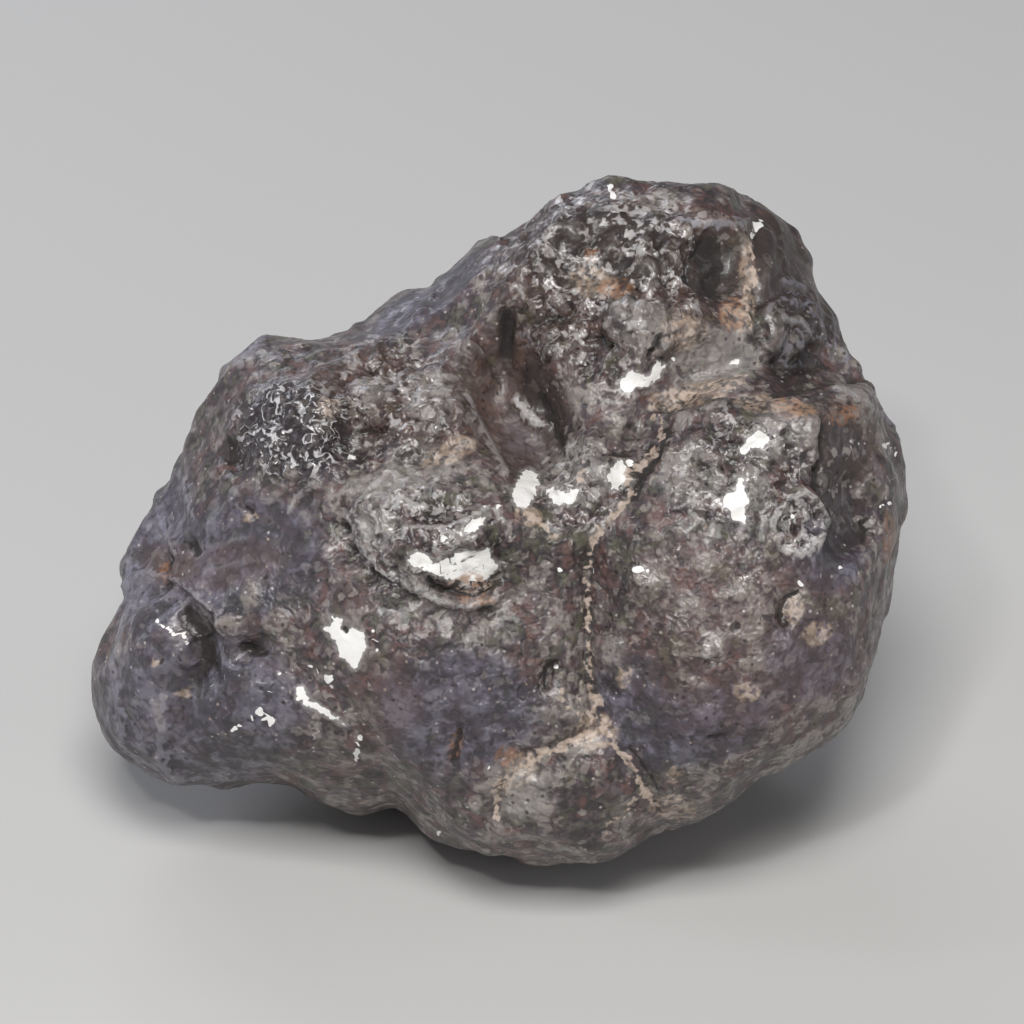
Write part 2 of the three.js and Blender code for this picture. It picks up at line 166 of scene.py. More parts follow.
# Seams as chains of points, with half width and depth
SEAMS = [
    ([(17, 10), (16, 8), (15.2, 6), (13, 4.2), (12.9, 1.7), (10.4, -1.3), (8.6, -4.2), (8.3, -12),
      (8.6, -17.3), (8.7, -19.9), (9.9, -22), (11.2, -25), (13.5, -28.8), (16, -32), (17, -35)], 0.4, 0.2),
    ([(9.7, -24), (6, -25.6), (2.2, -26.9), (-1, -30.1), (-1.8, -33)], 0.4, 0.35),
    ([(16.8, 11.5), (18.6, 12.1), (21, 12.5), (23.8, 13), (26.5, 13), (30, 13.6), (34, 14.5),
      (39, 15)], 0.6, 0.8),
    ([(27.3, 31), (27.4, 27), (27, 22), (27.6, 18)], 0.6, 0.6),
    ([(-1, 20.5), (5, 21.5), (10, 23)], 0.5, 0.5),
]
# Dark slots, their colour partly dark cracks and partly painted shade in the grooves: chains of points, with
# half width and depth
SLOTS = [
    ([(-36, -10.8), (-34.6, -12.6), (-33.7, -15), (-33.9, -17)], 0.65, 1.1),
    ([(-30, -15.1), (-27.6, -15.7)], 0.4, 0.8),
    ([(31.8, -8.8), (30.5, -9.5), (29.9, -11.2), (30.6, -12.4)], 0.22, 0.5),
    ([(39.4, -0.9), (39.4, -3.1)], 0.2, 0.7), ([(4.9, -16.8), (3.8, -17.8), (3.6, -19.4)], 0.25, 0.7),
    ([(-5.8, -24.4), (-6.7, -27.6)], 0.3, 0.7), ([(-0.7, 22.2), (-0.7, 17.2)], 0.5, 0.9),
    ([(34.4, 10.6), (34.6, 6.4), (33.9, 3.2), (34.9, 0.6)], 0.35, 0.7),
    ([(17.3, 9), (16.6, 7.4), (15.8, 5.2), (14, 3.8), (13.7, 1.6)], 0.4, 0.7),
    ([(-31.5, 7.9), (-31.3, 6.2)], 0.6, 0.5),
    ([(-9.3, -6.8), (-8.8, -7.9), (-7.8, -8.7), (-5.9, -9.3), (-3.8, -9.2), (-2, -8.7),
      (-1.3, -8)], 0.25, 0.8),
    ([(10.4, 6.6), (12.9, 6.4)], 0.3, 0.6), ([(3.2, 13), (4.2, 10.5), (5.2, 8)], 0.3, 0.7),
    ([(-38.6, -5), (-38.5, -6.6)], 0.4, 0.8), ([(-18.7, -12.9), (-18.6, -13.3)], 0.25, 0.5),
    ([(-29.4, 0.4), (-29, 0.2)], 0.35, 0.5), ([(22.3, 29.4), (22.7, 27.4), (22.2, 25.4)], 1.2, 0.2),
    ([(-27.4, -7), (-27.3, -7.2)], 0.2, 0.4), ([(21.8, -25.1), (23.8, -25)], 0.2, 0.5),
    ([(25, -12.7), (25.1, -12.8)], 0.4, 0.4), ([(-39.4, -16.6), (-39.3, -17)], 0.25, 0.4),
    ([(9.4, 19.6), (10.6, 18.2)], 0.5, 0.9), ([(16, 19.4), (15, 17)], 0.35, 0.7),
    ([(-35.7, -3.6), (-35.2, -4.4)], 0.5, 0.6), ([(12.9, -25.9), (14.4, -27.8), (16.2, -30.6)], 0.15, 0.5),
    ([(-6, -7.9), (-5.7, -7.8)], 0.35, 0.3), ([(-7, -5), (-6.6, -5.7)], 0.1, 0.1),
    ([(-5.6, -5.4), (-4.2, -4.9)], 0.12, 0.1), ([(-2.1, -7.3), (-1.5, -7)], 0.2, 0.2),
    ([(-3.6, -8), (-3.4, -8.1)], 0.25, 0.3), ([(12.2, 27.6), (12.8, 28)], 0.5, 0.5),
]
# Ridges that catch the light: chains of points, with half width and height
RIDGES = [
    ([(-5.3, 12.8), (-4.4, 10.8), (-3.3, 9), (-1.9, 6.3), (-0.8, 4.2)], 0.3, 0.6),
    ([(0.6, 12.5), (1.9, 10.8), (3.3, 9.7)], 0.6, 0.7), ([(-4, 18.4), (-3, 17.2)], 0.12, 0.3),
    ([(18.6, 32.3), (22, 32), (26, 31.9)], 0.35, 0.3),
    ([(-34.5, 12), (-37, 7), (-40, 0), (-41.9, -4.3), (-42.3, -9)], 0.3, 0.5),
    ([(-42.1, -10.7), (-43, -12.3), (-44.2, -17.4), (-43.3, -22.6), (-43, -25.3)], 0.25, 0.4),
    ([(-42.5, -8.3), (-40.9, -6.8), (-37.7, -7.2), (-35, -8.7), (-32.2, -11.1), (-31.6, -12.6)], 0.2, 0.6),
    ([(-39.1, 1.7), (-38.5, -1.6), (-37.5, -4.4)], 0.2, 0.3),
    ([(-36.1, 3.5), (-35.8, 1.1), (-35.2, -0.4)], 0.2, 0.3), ([(-40.1, -21), (-38.7, -24.5)], 0.25, 0.3),
    ([(-38.9, -20.5), (-38.8, -24.3), (-39.2, -26.6), (-37.6, -29.1)], 0.4, 0.5),
    ([(-27, 19.5), (-29.6, 16.5), (-33, 15.6)], 0.25, 0.4),
    ([(30, 25.6), (33, 24.6), (35.6, 21), (37, 16.6)], 0.25, 0.5),
    ([(28.3, 22), (30, 23.3), (32.5, 22.5), (34.2, 20.4), (34.6, 18.3)], 0.2, 0.5),
    ([(30, 21.2), (31.8, 21), (33, 19.4)], 0.18, 0.4), ([(31, 19.6), (32, 18.6)], 0.15, 0.3),
    ([(29.1, 17), (29.1, 19.1), (30, 19.5), (30.6, 17.9), (30.4, 16.2), (29.3, 17)], 0.18, 0.4),
    ([(36, 13.5), (39, 12.4), (42, 9.4)], 0.25, 0.4),
    ([(-10, -8.1), (-8.4, -9.8), (-6.4, -10.4), (-4.6, -10.2), (-2.3, -9.7)], 0.3, 0.5),
    ([(-13, 2), (-10.6, 0.6), (-8.4, 0.2)], 0.25, 0.4),
    ([(-12.8, -2), (-9.5, -1.6), (-7.3, -1.6), (-5, -0.9), (-2.8, 0.2), (-1.6, 0.4)], 0.2, 0.45),
    ([(-9.6, -2.8), (-9, -4.2), (-7.2, -4.4), (-6.2, -3.2), (-6.6, -2.2)], 0.2, 0.4),
    ([(-22, 3.2), (-24, 1.6), (-24.6, 0)], 0.2, 0.3),
    ([(-13.2, 4.7), (-15.8, 2.8), (-18.2, -0.5), (-17.7, -1.6), (-16.6, -4.2), (-14.7, -6.4), (-12.1, -7.9),
      (-9.5, -9.4), (-7.3, -10.1), (-4.3, -10.5), (-2.1, -9.8), (-1.2, -7.9)], 0.2, 0.5),
    ([(-17, -1), (-15.6, -3), (-13.6, -5.4)], 0.15, 0.3),
    ([(-15.6, 0.6), (-15, -1.4), (-15.4, -3)], 0.15, 0.3), ([(-13.4, 0.2), (-14.2, -2)], 0.15, 0.3),
    ([(3.7, -20.5), (5.2, -19.9), (6.3, -21.4), (6.9, -22.4)], 0.2, 0.3),
    ([(30.2, 1.2), (32.2, 2), (34.2, 0.6), (34.8, -1.8), (33.6, -4.2), (31.4, -4.9), (29.6, -3.6), (29, -1),
      (30.2, 1.2)], 0.3, 0.5),
    ([(32, 0.4), (32, -2.2), (32.8, -3.6)], 0.2, 0.4), ([(31.6, -3), (31.1, -4.4)], 0.2, 0.3),
    ([(21.4, 10.9), (23.4, 11.4), (24.4, 9.9)], 0.2, 0.3),
    ([(19.5, -2.4), (20.7, -1), (19.9, -0.2)], 0.2, 0.3),
]
# Tan crust: chains of points with a half width
CRUST = [
    ([(15.5, 10.5), (16.9, 9.6), (16.1, 8.2), (15.4, 6.8), (15, 5.5), (13.7, 5), (12.8, 4.1), (13, 1.7),
      (12.1, 0.4), (10.4, -1.3), (9.1, -3), (8.6, -4.2)], 0.36),
    ([(8.6, -4.2), (8.4, -8), (8.3, -12), (8.5, -14.6), (8.6, -17.3), (8.7, -19.9), (9.9, -21.6),
      (9.7, -23)], 0.32),
    ([(8.9, -21.6), (9.6, -23.4), (11.1, -25.7), (13.4, -28.3), (15, -31.4), (16.4, -33.3)], 0.42),
    ([(14.6, -31.4), (12, -33.8), (10.5, -35.3)], 0.16), ([(8, -24.7), (10.2, -24.2)], 0.8),
    ([(9.4, -24), (7.2, -25), (5.3, -26.4), (3.1, -26.8)], 0.4),
    ([(3.1, -26.8), (1.3, -28.3), (-1, -29), (-1.7, -31.3), (-1.7, -33.6)], 0.32),
    ([(5.3, -19.8), (6.4, -22), (8.4, -22.7)], 0.16),
    ([(18.6, 12.8), (20.6, 13.2), (22.6, 14.1), (25.6, 14.3)], 0.4),
    ([(0.8, 0.3), (2.2, -0.4), (3.6, -1.4), (4.6, -3)], 0.4),
    ([(26.7, 29.2), (26.7, 25.5), (25.4, 23.8), (25.8, 22.5), (26.7, 20.9)], 0.3),
    ([(7.7, 5.5), (7.9, 4.4), (7.4, 3)], 0.2),
]

# White patches, partly white glassy mineral and partly painted highlights: outlines, and small beads and
# painted glints with a radius
WHITE_PATCHES = [
    [(-11.6, -5.3), (-11.1, -4.5), (-9.6, -4.7), (-8.8, -5.6), (-6.5, -4.9), (-5.3, -4.4), (-2.6, -4),
     (-2.2, -5.2), (-1.4, -6.4), (-2.1, -7.2), (-3, -7.8), (-4.6, -7.8), (-5.9, -7.7), (-7.4, -7.3),
     (-9.1, -6.2), (-10.5, -6.2)],
    [(1.4, 4.6), (2.3, 4.8), (2.9, 4.1), (3.1, 3.4), (2.5, 2), (1.7, 0.4), (1, 0.3), (0.2, 1.1), (0, 2.5),
     (0.6, 3.4)],
    [(3.6, 2.8), (4.8, 2.7), (6.2, 1.8), (6.9, 2.8), (7.4, 2.4), (6.9, 1.3), (6.6, 1), (4.8, 1),
     (4.2, 1.8)],
    [(11.4, 5.7), (12.3, 5.7), (12.7, 4.5), (12.6, 3.4), (11.4, 2.3), (10.8, 3.1), (10.4, 3.8), (11, 4.7)],
    [(11.8, 14.3), (13.1, 15.7), (14.4, 15.3), (14.7, 14.9), (15.5, 15.4), (16.1, 16.7), (17.2, 16.3),
     (16.7, 15.2), (15.1, 14), (13.7, 14), (13.4, 13.3), (12.1, 13.5)],
    [(-5.5, -2), (-4.4, -0.8), (-2.5, -0.2), (-3.1, -1.1), (-4.1, -2.2), (-5.3, -2.3)],
    [(25.4, 7.1), (26.4, 8.3), (27.6, 9.1), (29.1, 7.9), (27.6, 7.1), (26.4, 6.9), (26, 6.3), (25.4, 6.6)],
    [(24.9, 4), (25.7, 3.9), (25.8, 2.8), (26.3, 1.3), (25.8, 0.3), (26.2, -1.3), (24.7, -0.9), (23.5, 0.5),
     (23.3, 1.5), (24.3, 2.1), (25.1, 2.5)],
    [(-21, -12.9), (-19.8, -12.6), (-20.4, -11.3), (-19.6, -11.8), (-18.4, -11.9), (-19.2, -13),
     (-18.7, -13.6), (-17.7, -12.8), (-16.4, -13.3), (-16.1, -14.7), (-16.8, -15.8), (-17.5, -17.7),
     (-18.3, -16.9), (-19.2, -15.8), (-19.6, -14.5)],
    [(-24.3, -19.6), (-23.4, -19.3), (-22.7, -20.3), (-22.4, -20.9), (-20.4, -22), (-18.3, -23.7),
     (-20, -23), (-21.9, -21.8), (-22.8, -21.6), (-23.8, -20.9)],
    [(23.8, 16.9), (25.1, 17), (25.1, 16.3), (24, 16.1)],
]
BEADS_AND_GLINTS = [
    ((-28, -22.3), 0.42), ((-26.7, -23.3), 0.5), ((-31, -24.1), 0.25), ((-30.4, -23.8), 0.28),
    ((-29.8, -23.5), 0.25), ((-39.6, -12), 0.22), ((-39, -12.4), 0.22), ((-37.8, -13.1), 0.25),
    ((-36.7, -12.5), 0.24), ((-36.6, -13.4), 0.3), ((-36, -14.6), 0.28), ((-16.9, -25.1), 0.32),
    ((-17.3, -26.6), 0.42), ((-17.3, -27.3), 0.24), ((-15, -15.4), 0.2), ((-15.3, -13.2), 0.2),
    ((-20.4, -18.3), 0.34), ((-20, -19.3), 0.26), ((-25.9, -18), 0.22), ((-22.5, -17.1), 0.2),
    ((-1.6, 0.4), 0.28), ((-7.6, -3), 0.34), ((5.3, -6.4), 0.34), ((4.6, -6.4), 0.2), ((13.1, 5.4), 0.42),
    ((13.8, -6.4), 0.4), ((15, -6.4), 0.2), ((41.3, 7.3), 0.32), ((42.6, 6.3), 0.22), ((42, 0.9), 0.22),
    ((41.1, 0.6), 0.18), ((31, -0.6), 0.28), ((32.1, -8), 0.32), ((36.6, -6.2), 0.2), ((4.9, -17.2), 0.3),
    ((-7.9, -35.3), 0.24), ((18.1, 16.9), 0.2), ((27.3, 31.9), 0.5), ((26.8, 30.9), 0.3),
    ((10.9, 36.1), 0.4), ((11.2, 35.4), 0.3), ((-2.6, -28.4), 0.2), ((-17.8, 6.6), 0.4), ((-42.6, 3), 0.2),
]
# Rounded clasts: middle, half sizes and turn
CLASTS = [
    ((-28.9, -9.4), (0.9, 2.1), 5), ((-26, -12.7), (1.5, 1.7), 0), ((31.3, -10.8), (1.2, 1.2), 0),
    ((14.4, -7.7), (1.3, 1.2), 0), ((19.2, -10.4), (1.2, 1.1), 0), ((33.2, 8.8), (1.4, 1.7), 0),
    ((1.2, -30.8), (1.9, 1.7), 0), ((5, -29), (2, 0.8), 30), ((11.1, -15.4), (1.5, 2.1), 0),
    ((22.4, -15), (1.4, 1.5), 0), ((-1.4, -35), (0.8, 0.9), 0), ((15.4, 21), (2, 1.6), 20),
    ((12, 22.4), (1.2, 1.4), 0), ((-31, -12.6), (1.4, 1.2), 0), ((-20.3, 11.6), (0.9, 1.1), 0),
    ((19, 4.4), (2.4, 1.8), 20), ((-24.5, 4.6), (1, 1), 0),
]

# The material reads each of these as a mask of the same name
PLACES = {
    "satin": SATIN, "crystalline": CRYSTALLINE, "bubbly": BUBBLY, "glossy": GLOSSY_LUMPS, "pale": PALE_PLACES,
    "dark": DARK_AND_SHADED_PLACES, "tan": TAN_PLACES, "rusty": RUSTY_PLACES, "brown": BROWN_PLACES,
    "mauve": MAUVE_PLACES, "reddish": REDDISH_PLACES, "clast": CLASTS,
}


def smoothstep(value, low, high):
    """0 up to the low value and 1 from the high value on, with a soft rise between them."""
    t = np.clip((value - low) / (high - low), 0, 1)
    return t * t * (3 - 2 * t)


def in_places(x, y, places, soft=0.25):
    """1 in the middle of any of the places, falling to 0 around its half sizes."""
    most = np.zeros_like(x)
    for (middle_x, middle_y), (half_x, half_y), turn in places:
        c, s = math.cos(math.radians(turn)), math.sin(math.radians(turn))
        across = ((x - middle_x) * c + (y - middle_y) * s) / half_x
        up = ((y - middle_y) * c - (x - middle_x) * s) / half_y
        most = np.maximum(most, smoothstep(np.hypot(across, up), 1 + soft, 1 - soft))
    return most


def ways_from(x, y, chain):
    """For each straight piece of a chain, the way from its nearest point: across and up."""
    for (ax, ay), (bx, by) in zip(chain, chain[1:]):
        dx, dy = bx - ax, by - ay
        t = np.clip(((x - ax) * dx + (y - ay) * dy) / max(dx * dx + dy * dy, TINY), 0, 1)
        yield x - ax - t * dx, y - ay - t * dy


def chain_distance(x, y, chain):
    """How far each point is from a chain of straight pieces."""
    return np.min([np.hypot(across, up) for across, up in ways_from(x, y, chain)], axis=0)


def way_from_lines(skin, lines):
    """The way from the nearest line, across and up, and its half width, which falls away behind the rim."""
    least = np.full_like(skin.x, np.inf)
    way = np.zeros((len(skin.x), 3))
    for chain, half in lines:
        for across, up in ways_from(skin.x, skin.y, chain):
            distance = np.hypot(across, up) - half
            nearer = distance < least
            least[nearer] = distance[nearer]
            way[nearer] = np.stack([across, up, np.full_like(across, half)], 1)[nearer]
    way[:, 2] -= FAR_AWAY * (1 - skin.front)
    return way


def depth_inside(x, y, outline):
    """How far inside a closed outline each point is, less than zero outside."""
    inside = np.zeros(len(x), bool)
    closed = outline + outline[:1]
    for (ax, ay), (bx, by) in zip(closed, closed[1:]):
        if ay != by:
            inside ^= ((ay > y) != (by > y)) & (x < ax + (bx - ax) * (y - ay) / (by - ay))
    return np.where(inside, 1, -1) * chain_distance(x, y, closed)


def noise_at(points, size, seed=0.0):
    """Smooth noise from -1 to 1, with bumps about size millimetres across."""
    return np.array([noise.noise(p) for p in (points / size + seed).tolist()])


class Cells:
    """The cell that each point lies in, of cells around scattered middles about size millimetres apart.

    near is how far the cell's middle is, value a random number for each cell, and slope the height of a flat
    facet that leans its own way.
    """

    # Middles of neighbouring cells are moved apart by this much, so that each draws its own random numbers
    SPREAD = 7.3

    def __init__(self, points, size, seed=0.0):
        scaled = points / size + seed
        found = [noise.voronoi(p) for p in scaled.tolist()]
        self.near = np.array([distances[0] for distances, places in found])
        middle = np.array([places[0] for distances, places in found])
        random = np.array([noise.cell_vector(places[0] * self.SPREAD) for distances, places in found])
        self.value = random[:, 0]
        self.slope = ((scaled - middle) * (random - 0.5)).sum(1)


def solid_mesh(node):
    """Corners and triangles of a node, with the corners of neighbouring facets joined."""
    mesh = node.data
    mesh.calc_loop_triangles()
    corners = np.zeros(len(mesh.vertices) * 3)
    mesh.vertices.foreach_get("co", corners)
    triangles = np.zeros(len(mesh.loop_triangles) * 3, int)
    mesh.loop_triangles.foreach_get("vertices", triangles)
    points, joined = np.unique(corners.reshape(-1, 3), axis=0, return_inverse=True)
    return points, joined.reshape(-1)[triangles].reshape(-1, 3)


def split_in_four(points, triangles):
    """Each triangle becomes four, with a new corner in the middle of each side."""
    sides = np.sort(np.vstack([triangles[:, [0, 1]], triangles[:, [1, 2]], triangles[:, [2, 0]]]), axis=1)
    unique, which = np.unique(sides, axis=0, return_inverse=True)
    ab, bc, ca = len(points) + which.reshape(3, -1)
    a, b, c = triangles.T
    quarters = [np.stack(corners, 1) for corners in ((a, ab, ca), (ab, b, bc), (ca, bc, c), (ab, bc, ca))]
    return np.vstack([points, points[unique].mean(1)]), np.vstack(quarters)


def neighbour_mean(values, triangles):
    """The mean of a value, or of a place, over each corner's neighbours."""
    sums = np.zeros_like(values)
    counts = np.zeros(len(values))
    for here, there in ((0, 1), (1, 2), (2, 0)):
        np.add.at(sums, triangles[:, here], values[triangles[:, there]])
        counts += np.bincount(triangles[:, here], minlength=len(values))
    return sums / (counts[:, None] if values.ndim > 1 else counts)


def normals_of(points, triangles):
    """The normal at each corner, from the triangles around it."""
    a, b, c = (points[triangles[:, i]] for i in range(3))
    faces = np.cross(b - a, c - a)
    sums = np.zeros_like(points)
    for i in range(3):
        np.add.at(sums, triangles[:, i], faces)
    return sums / np.linalg.norm(sums, axis=1, keepdims=True)


def fine_skin(node):
    """A node's surface with sixteen times as many triangles, and its facets rounded off."""
    points, triangles = solid_mesh(node)
    for _ in range(2):
        points, triangles = split_in_four(points, triangles)
        points = (points + neighbour_mean(points, triangles)) / 2
    return points, triangles


def hollow_amount(points, triangles):
    """How far each corner lies below its neighbours, in millimetres; less than zero on bumps."""
    below = ((neighbour_mean(points, triangles) - points) * normals_of(points, triangles)).sum(1) / MM
    for _ in range(2):
        below = (below + neighbour_mean(below, triangles)) / 2
    return below


class Skin:
    """The stone's surface points, where each lies on the face, and the soft masks of its finishes."""

    def __init__(self, points, triangles):
        self.points = points
        self.triangles = triangles
        self.place = face_points(points)
        x, y, w = self.place.T
        seen = VIEW_DISTANCE / (VIEW_DISTANCE - w)
        self.x = x * seen
        self.y = y * seen
        out = self.place - CENTRE
        facing = out[:, 2] / np.linalg.norm(out, axis=1)
        # Front is 1 on the face's side and falls to 0 behind the rim; inner is 1 only well inside the rim
        self.front = smoothstep(facing, -0.2, 0.03)
        self.inner = smoothstep(facing, 0.05, 0.55)
        self.warped_x = self.x + self.wobble(3)
        self.warped_y = self.y + self.wobble(8)

    def wobble(self, seed):
        """A small shift that keeps the edges of places from being smooth ovals."""
        return 0.4 * noise_at(self.place, 2.4, seed) + 0.15 * noise_at(self.place, 0.9, seed)

    def on_face(self, places):
        return self.front * in_places(self.warped_x, self.warped_y, places)


def grain_relief(skin, satin, broken):
    """Lumps, grain and flat broken facets."""
    place = skin.place
    large, middle, small, tiny = (noise_at(place, size, size) for size in (6.0, 3.1, 1.5, 0.9))
    rough = np.clip(0.3 + 0.25 * skin.inner + 0.6 * broken - 0.45 * satin, 0.06, 1)
    high = rough * (0.3 * middle + 0.32 * small + 0.2 * tiny) + 0.25 * large * (1 - 0.6 * satin)
    coarse, fine = Cells(place, 3.0, 4.0), Cells(place, 1.5)
    facets = 1.6 * coarse.slope + 0.5 * (coarse.value - 0.5) + 0.9 * fine.slope + 0.25 * (fine.value - 0.5)
    return high + facets * (0.12 + 0.88 * broken) * (0.35 + 0.65 * skin.inner) * (1 - 0.9 * satin)


def fold_relief(skin):
    """Soft folds that run round the sides and the back."""
    crests = np.exp(-((noise_at(skin.place, 9.0, 21.0) / 0.14) ** 2))
    return 0.5 * (1 - skin.inner) * crests


def bubble_relief(skin):
    """Small bubbles close together, and the bigger glossy lumps."""
    bubbles, blobs = Cells(skin.place, 1.5, 9.0), Cells(skin.place, 2.6, 1.0)
    domes = np.sqrt(np.clip(1 - (bubbles.near / 0.62) ** 2, 0, 1)) - 0.5
    lumps = np.sqrt(np.clip(1 - (blobs.near / 0.75) ** 2, 0, 1)) - 0.5
    return 0.7 * domes * skin.on_face(BUBBLY) + 0.9 * lumps * skin.on_face(GLOSSY_LUMPS)


def ledge_relief(skin):
    """The plate's thin layers, broken off one below the other."""
    steps = 5 * (0.5 * noise_at(skin.place, 4.5, 11.0) + 0.12 * noise_at(skin.place, 1.5, 3.0))
    layers = np.floor(steps) + smoothstep(steps - np.floor(steps), 0.35, 0.65)
    return 0.22 * layers * skin.on_face(PLATE)


def line_relief(skin):
    """Seams with low raised banks, slots and ridges."""
    x, y = skin.warped_x, skin.warped_y
    high = np.zeros_like(x)
    for chain, half, deep in SEAMS:
        distance = chain_distance(x, y, chain)
        high -= deep * np.exp(-((distance / half) ** 2))
        high += 0.15 * np.exp(-(((distance - 2.4 * half) / half) ** 2))
    for chain, half, deep in SLOTS:
        high -= deep * np.exp(-((chain_distance(x, y, chain) / (half + 0.15)) ** 2))
    for chain, half, tall in RIDGES:
        high += tall * np.exp(-((chain_distance(x, y, chain) / (half + 0.2)) ** 2))
    return high * skin.front


def broad_relief(skin):
    """Broad lumps and hollows."""
    x = skin.warped_x + 1.8 * noise_at(skin.place, 4.0, 31.0)
    y = skin.warped_y + 1.8 * noise_at(skin.place, 4.0, 37.0)
    high = np.zeros_like(x)
    for middle, half_sizes, turn, height in RISES:
        high += height * in_places(x, y, [(middle, half_sizes, turn)], 0.65)
    return high * skin.front


def clast_relief(skin):
    """Rounded clasts that stand a little out of the rock."""
    return 0.45 * skin.on_face(CLASTS)


def relief(skin):
    """How far each point moves out along its normal, in millimetres."""
    satin = skin.on_face(SATIN)
    # Behind the rim some patches are half broken too
    patchy = (1 - skin.front) * smoothstep(noise_at(skin.place, 13.0, 5.0), 0.0, 0.4)
    broken = np.maximum(skin.on_face(CRYSTALLINE), 0.5 * patchy)
    high = grain_relief(skin, satin, broken) + fold_relief(skin) + bubble_relief(skin) + ledge_relief(skin)
    high += broad_relief(skin) + line_relief(skin) + clast_relief(skin)
    # White patches are smoother than the rock around them
    return high * (1 - 0.6 * smoothstep(white_field(skin), -0.3, 0.4))


def skin_object(skin, masks, ways):
    """The skin as one piece, with the masks and ways that its material reads."""
    mesh = bpy.data.meshes.new("stone_skin")
    mesh.from_pydata(skin.points.tolist(), [], skin.triangles.tolist())
    mesh.polygons.foreach_set("use_smooth", np.ones(len(mesh.polygons), bool))
    for name, values in masks.items():
        mesh.attributes.new(name, "FLOAT", "POINT").data.foreach_set("value", values.astype(np.float32))
    for name, values in ways.items():
        flat = values.astype(np.float32).reshape(-1)
        mesh.attributes.new(name, "FLOAT_VECTOR", "POINT").data.foreach_set("vector", flat)
    mesh.update()
    piece = bpy.data.objects.new("stone_skin", mesh)
    bpy.context.scene.collection.objects.link(piece)
    return piece


def white_field(skin):
    """How far inside a white patch each point is, in millimetres, and less than zero outside."""
    depths = [depth_inside(skin.x, skin.y, outline) for outline in WHITE_PATCHES]
    return np.max(depths, axis=0) - FAR_AWAY * (1 - skin.front)


def stone():
    """The stone's skin, made from its solid, in the solid's box."""
    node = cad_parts["stone"]
    points, triangles = fine_skin(node)
    skin = Skin(points, triangles)
    height = relief(skin) * smoothstep(points[:, 2] / MM, *FOOT_EDGE)
    moved = points + normals_of(points, triangles) * (height * MM)[:, None]
    skin.points = np.clip(moved, *np.array(cad_box))
    masks = {name: skin.on_face(places) for name, places in PLACES.items()}
    masks["white"] = white_field(skin)
    masks["hollow"] = hollow_amount(skin.points, triangles)
    masks["inner"] = skin.inner
    ways = {
        "crust": way_from_lines(skin, CRUST),
        "slot": way_from_lines(skin, [line[:2] for line in SLOTS]),
        "ridge": way_from_lines(skin, [line[:2] for line in RIDGES]),
        "bead_and_glint": way_from_lines(skin, [([middle, middle], radius) for middle, radius in BEADS_AND_GLINTS]),
    }
    piece = skin_object(skin, masks, ways)
    piece.data.materials.append(breccia())
    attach(piece, "root")
    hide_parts("stone")


def srgb(red, green, blue):
    """A colour given as a screen shows it, 0 to 255, as the linear values a shader takes."""
    def linear(value):
        value /= 255
        return value / 12.92 if value <= 0.04045 else ((value + 0.055) / 1.055) ** 2.4
    return (linear(red), linear(green), linear(blue), 1.0)


# The rock's colours
BODY_DARK = srgb(50, 42, 45)
BODY = srgb(90, 79, 83)
BODY_PALE = srgb(146, 138, 132)
MAUVE_DARK = srgb(58, 54, 65)
MAUVE = srgb(98, 95, 113)
BROWN = srgb(88, 67, 57)
REDDISH = srgb(106, 77, 71)
GREENISH = srgb(100, 98, 78)
TAN = srgb(158, 138, 120)
CRUST_CREAM = srgb(194, 175, 162)
RUST = srgb(156, 108, 74)
# Dark brown of specks, cracks and grain gaps, and painted shade in the hollows and slots
SPECK_AND_SHADE_BROWN = srgb(34, 27, 25)
PALE_GREY = srgb(168, 164, 160)
# Darker rock, and painted shade in the hollows and on walls turned from the light
DARK_ROCK_AND_SHADE = srgb(46, 38, 38)
# Pale lines along the ridges, partly a painted highlight, and the pale edge of the white patches
PALE_LINE_AND_HIGHLIGHT = srgb(178, 174, 173)
# Painted bluish sheen along the ridges near the rim
RIM_SHEEN_LINE = srgb(148, 147, 162)
# Painted glints on crystal grains and on the rims of bubbles
GLINT = srgb(200, 198, 200)
# White glassy mineral, and painted highlights and glints
WHITE = srgb(248, 246, 243)


